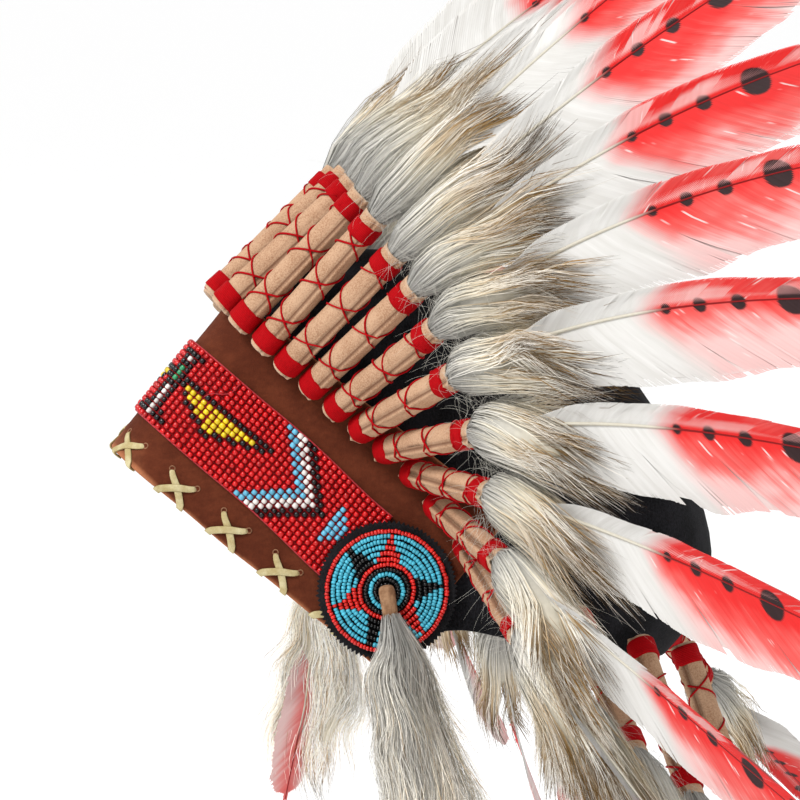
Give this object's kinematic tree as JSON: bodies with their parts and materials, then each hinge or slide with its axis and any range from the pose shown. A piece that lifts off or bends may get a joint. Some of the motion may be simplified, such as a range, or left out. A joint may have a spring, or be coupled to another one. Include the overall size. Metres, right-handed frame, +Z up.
{
  "type": "feathered headdress",
  "caption": "Crown cap of felt with a beaded suede headband, rosettes, fur drops and a fanned ring of plumes, each a feather with a felt-wrapped quill and a fur tuft.",
  "frame": {"origin": "middle of the head opening, level with the headband's lower edge", "axes": "+Z up, with the crown leaning back; -X towards the wearer's front, -Y towards the wearer's left side"},
  "size_m": [0.4247, 0.6857, 0.6324],
  "materials": {
    "cap_felt": "black wool felt",
    "headband_suede": "brown suede",
    "strip_beads": "glossy seed beads in loom-woven rows",
    "rosette_felt": "black felt with a pinked edge",
    "rosette_beads": "glossy seed beads sewn in rings",
    "lacing_leather": "pale leather lacing",
    "drop_fur": "natural fur, white to tan and grey",
    "plume_wrap": "beige felt sleeve",
    "plume_fur": "cream fur with dark hair tips",
    "plume_feather": "white feather tinted coral towards its tip",
    "thread_red": "red waxed thread",
    "thread_white": "white cotton thread",
    "drop_tip": "tan leather"
  },
  "bodies": {
    "root": {"cap": "cap_felt", "headband": "headband_suede", "bead_strip": "strip_beads", "rosette_felt_left": "rosette_felt", "rosette_beads_left": "rosette_beads", "drop_left": "drop_fur", "lace_left_1": "lacing_leather", "lace_left_2": "lacing_leather", "lace_left_3": "lacing_leather", "lace_left_4": "lacing_leather", "lace_left_5": "lacing_leather", "rosette_felt_right": "rosette_felt", "rosette_beads_right": "rosette_beads", "drop_right": "drop_fur", "lace_right_1": "lacing_leather", "lace_right_2": "lacing_leather", "lace_right_3": "lacing_leather", "lace_right_4": "lacing_leather", "lace_right_5": "lacing_leather", "plume_a_front": "plume_wrap", "plume_b_left": "plume_wrap", "plume_c_left": "plume_wrap", "plume_d_left": "plume_wrap", "plume_e_left": "plume_wrap", "plume_f_left": "plume_wrap", "plume_g_left": "plume_wrap", "plume_h_left": "plume_wrap", "plume_i_left": "plume_wrap", "plume_j_left": "plume_wrap", "plume_k_left": "plume_wrap", "plume_l_left": "plume_wrap", "plume_m_left": "plume_wrap", "plume_n_left": "plume_wrap", "plume_o_left": "plume_wrap", "plume_p_left": "plume_wrap", "plume_b_right": "plume_wrap", "plume_c_right": "plume_wrap", "plume_d_right": "plume_wrap", "plume_e_right": "plume_wrap", "plume_f_right": "plume_wrap", "plume_g_right": "plume_wrap", "plume_h_right": "plume_wrap", "plume_i_right": "plume_wrap", "plume_j_right": "plume_wrap", "plume_k_right": "plume_wrap", "plume_l_right": "plume_wrap", "plume_m_right": "plume_wrap", "plume_n_right": "plume_wrap", "plume_o_right": "plume_wrap", "plume_p_right": "plume_wrap"}
  },
  "joints": []
}
